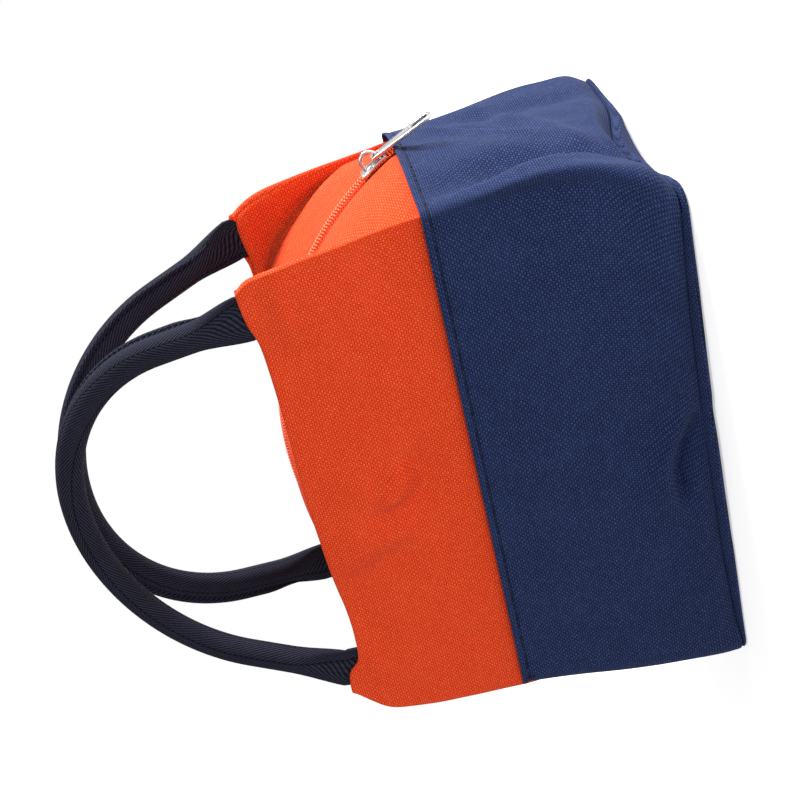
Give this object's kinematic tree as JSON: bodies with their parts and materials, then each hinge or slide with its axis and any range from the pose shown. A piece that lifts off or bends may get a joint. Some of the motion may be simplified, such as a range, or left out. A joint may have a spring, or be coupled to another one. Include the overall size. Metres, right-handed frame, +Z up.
{
  "type": "insulated lunch bag",
  "caption": "Standing canvas lunch bag with a wide base, two-tone body, domed zip lid and padded webbing handles.",
  "frame": {"origin": "middle of the base, on the surface that the bag stands on", "axes": "+Z up, -Y the front, +X along the bag towards the end where the slider rests when the zip is shut"},
  "size_m": [0.2564, 0.148, 0.2702],
  "materials": {
    "navy_canvas": "matte woven cotton canvas, navy",
    "orange_canvas": "matte woven cotton canvas, orange",
    "orange_tape": "woven polyester zip tape, orange",
    "orange_coil": "nylon coil, orange",
    "nickel": "nickel plated",
    "dark_webbing": "herringbone cotton webbing, near black navy",
    "sewing_thread": "polyester sewing thread, dark navy",
    "padding": "soft padding cord, off white",
    "foam": "closed-cell insulating foam, white",
    "foil": "metallised plastic film, silver"
  },
  "bodies": {
    "bag": {"lower_band": "navy_canvas", "base_panel": "navy_canvas", "front_upper_panel": "orange_canvas", "back_upper_panel": "orange_canvas", "gusset_front": "orange_canvas", "gusset_back": "orange_canvas", "band_topstitch": "sewing_thread", "zip_tape_front": "orange_tape", "zip_tape_back": "orange_tape", "zip_coil_front": "orange_coil", "zip_coil_back": "orange_coil", "front_handle_ends": "dark_webbing", "back_handle_ends": "dark_webbing", "insulation_front": "foam", "insulation_back": "foam", "insulation_left": "foam", "insulation_right": "foam", "insulation_base": "foam", "insulation_lid_front": "foam", "insulation_lid_back": "foam", "lining_front": "foil", "lining_back": "foil", "lining_left": "foil", "lining_right": "foil", "lining_base": "foil", "lining_lid_front": "foil", "lining_lid_back": "foil"},
    "front_handle": {"front_handle_webbing": "dark_webbing", "front_handle_core": "padding", "front_handle_thread": "sewing_thread"},
    "back_handle": {"back_handle_webbing": "dark_webbing", "back_handle_core": "padding", "back_handle_thread": "sewing_thread"},
    "zip_slider": {"zip_slider": "nickel"},
    "pull_tab": {"zip_pull_tab": "nickel"}
  },
  "joints": [
    {"name": "front_handle_fold", "type": "hinge", "parent": "bag", "child": "front_handle", "pos_m": [0, -0.04605, 0.1705], "axis": [1, 0, 0], "range_deg": [0, 184]},
    {"name": "back_handle_fold", "type": "hinge", "parent": "bag", "child": "back_handle", "pos_m": [0, 0.04605, 0.1705], "axis": [-1, 0, 0], "range_deg": [0, 184]},
    {"name": "zip_travel", "type": "hinge", "parent": "bag", "child": "zip_slider", "pos_m": [0, 0, 0.03176], "axis": [0, -1, 0], "range_deg": [0, 115.3]},
    {"name": "pull_swing", "type": "hinge", "parent": "zip_slider", "child": "pull_tab", "pos_m": [0.11993, 0, 0.10759], "axis": [0, -1, 0], "range_deg": [0, 194]}
  ]
}
